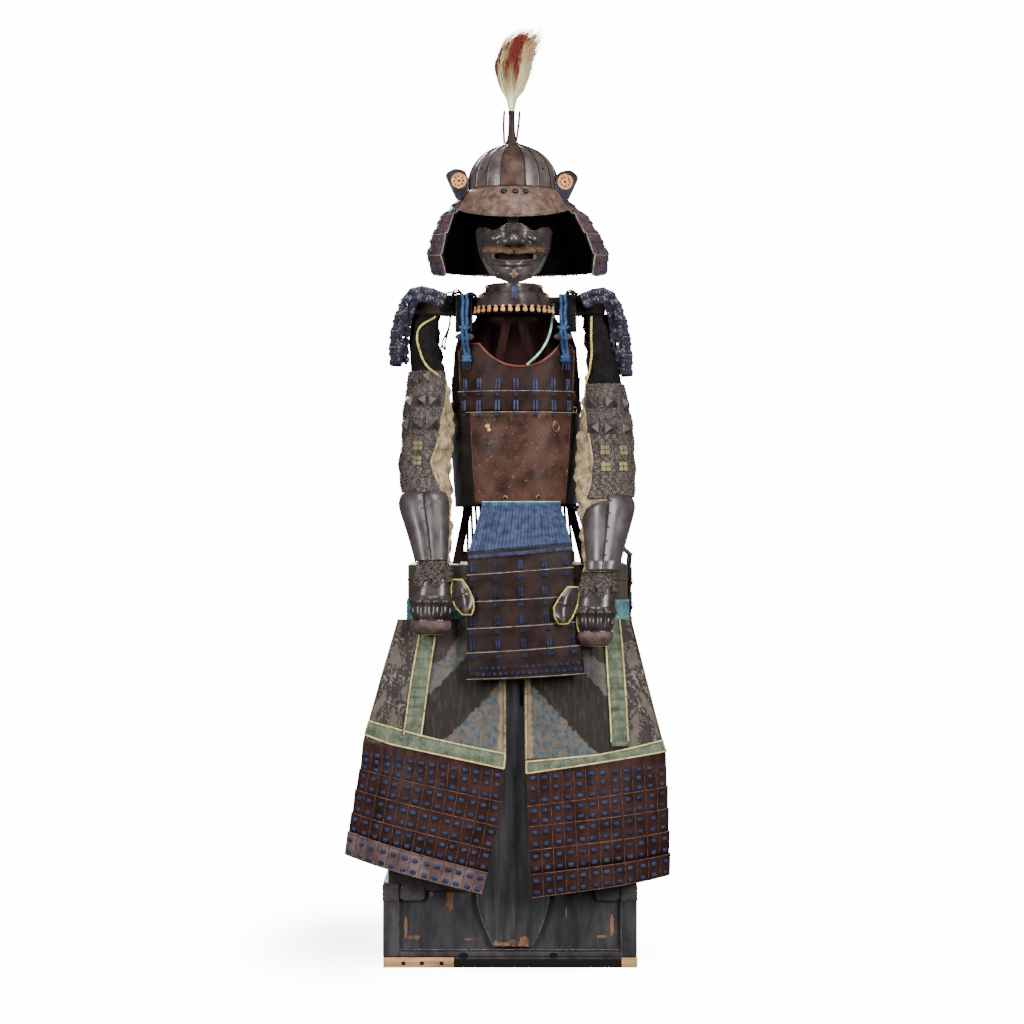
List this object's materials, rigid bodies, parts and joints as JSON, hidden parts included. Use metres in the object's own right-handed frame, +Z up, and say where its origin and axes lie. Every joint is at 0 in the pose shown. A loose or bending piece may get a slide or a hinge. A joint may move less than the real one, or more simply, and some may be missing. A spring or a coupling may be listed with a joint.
{
  "type": "japanese lacquered iron armour on a wooden chest and frame stand",
  "caption": "Full suit of laced and lacquered armour with helmet, face guard, sleeves, cuirass and thigh guards, displayed on a wooden frame over its storage chest.",
  "frame": {"origin": "on the floor, at the middle of the whole object's outline seen from above", "axes": "+Z up, +X to a viewer's right, the armour faces -Y"},
  "size_m": [0.6978, 0.5006, 2.0433],
  "materials": {
    "russet_iron": "worn russet lacquer on iron",
    "black_lacquer": "black lacquer, rubbed at the edges",
    "forearm_lacquer": "polished dark lacquered iron",
    "brown_leather": "red-brown lacquered hide, mottled",
    "red_lacquer": "dark red lacquer",
    "blue_lacing": "flat braided silk",
    "hemp_cloth": "coarse hemp",
    "mail_cloth": "iron mail on cloth",
    "thigh_cloth": "worn printed cotton",
    "green_brocade": "faded silk edging",
    "belt_cloth": "blue-green woven cloth",
    "horse_hair": "pale hair",
    "dark_wood": "dark stained wood, chipped",
    "brown_wood": "brown lacquered wood"
  },
  "bodies": {
    "armour": {"arm_mail_left": "mail_cloth", "arm_mail_right": "mail_cloth", "back_plate": "black_lacquer", "back_skirt": "black_lacquer", "breast_lame": "brown_leather", "breast_plate": "brown_leather", "chest_base": "dark_wood", "chest_body": "dark_wood", "chest_top": "dark_wood", "collar_cloth": "thigh_cloth", "crest_tube": "russet_iron", "crossbar": "brown_wood", "face_cord": "blue_lacing", "face_guard": "russet_iron", "forearm_inner_left": "forearm_lacquer", "forearm_inner_right": "forearm_lacquer", "forearm_outer_left": "forearm_lacquer", "forearm_outer_right": "forearm_lacquer", "front_plank": "dark_wood", "front_plate": "brown_leather", "front_skirt": "brown_leather", "front_suspension": "blue_lacing", "green_cord": "belt_cloth", "hand_guard_left": "forearm_lacquer", "hand_guard_right": "forearm_lacquer", "head_post": "brown_wood", "helmet_bowl": "russet_iron", "helmet_brim": "russet_iron", "leg_left": "red_lacquer", "leg_right": "red_lacquer", "neck_guard": "black_lacquer", "plume": "horse_hair", "ring_eye": "russet_iron", "shoulder_cord_left": "blue_lacing", "shoulder_cord_right": "blue_lacing", "shoulder_guard_left": "black_lacquer", "shoulder_guard_right": "black_lacquer", "shoulder_strap_left": "black_lacquer", "shoulder_strap_right": "black_lacquer", "side_plate_left": "black_lacquer", "side_plate_right": "black_lacquer", "side_skirt": "black_lacquer", "sleeve_left": "hemp_cloth", "sleeve_right": "hemp_cloth", "thigh_belt": "belt_cloth", "thigh_cloth_left": "thigh_cloth", "thigh_cloth_right": "thigh_cloth", "thigh_lames_left": "red_lacquer", "thigh_lames_right": "red_lacquer", "thigh_trim_left": "green_brocade", "thigh_trim_right": "green_brocade", "throat_guard": "black_lacquer", "throat_knots": "horse_hair", "thumb_guard_left": "forearm_lacquer", "thumb_guard_right": "forearm_lacquer", "toggle_left": "black_lacquer", "toggle_right": "black_lacquer", "turn_back_left": "black_lacquer", "turn_back_right": "black_lacquer"},
    "ring": {"swing_ring": "russet_iron"}
  },
  "joints": [
    {"name": "ring_swing", "type": "hinge", "parent": "armour", "child": "ring", "pos_m": [0.09914, -0.09792, 1.1658], "axis": [-0.8039, -0.5948, 0], "range_deg": [0, 150]}
  ]
}
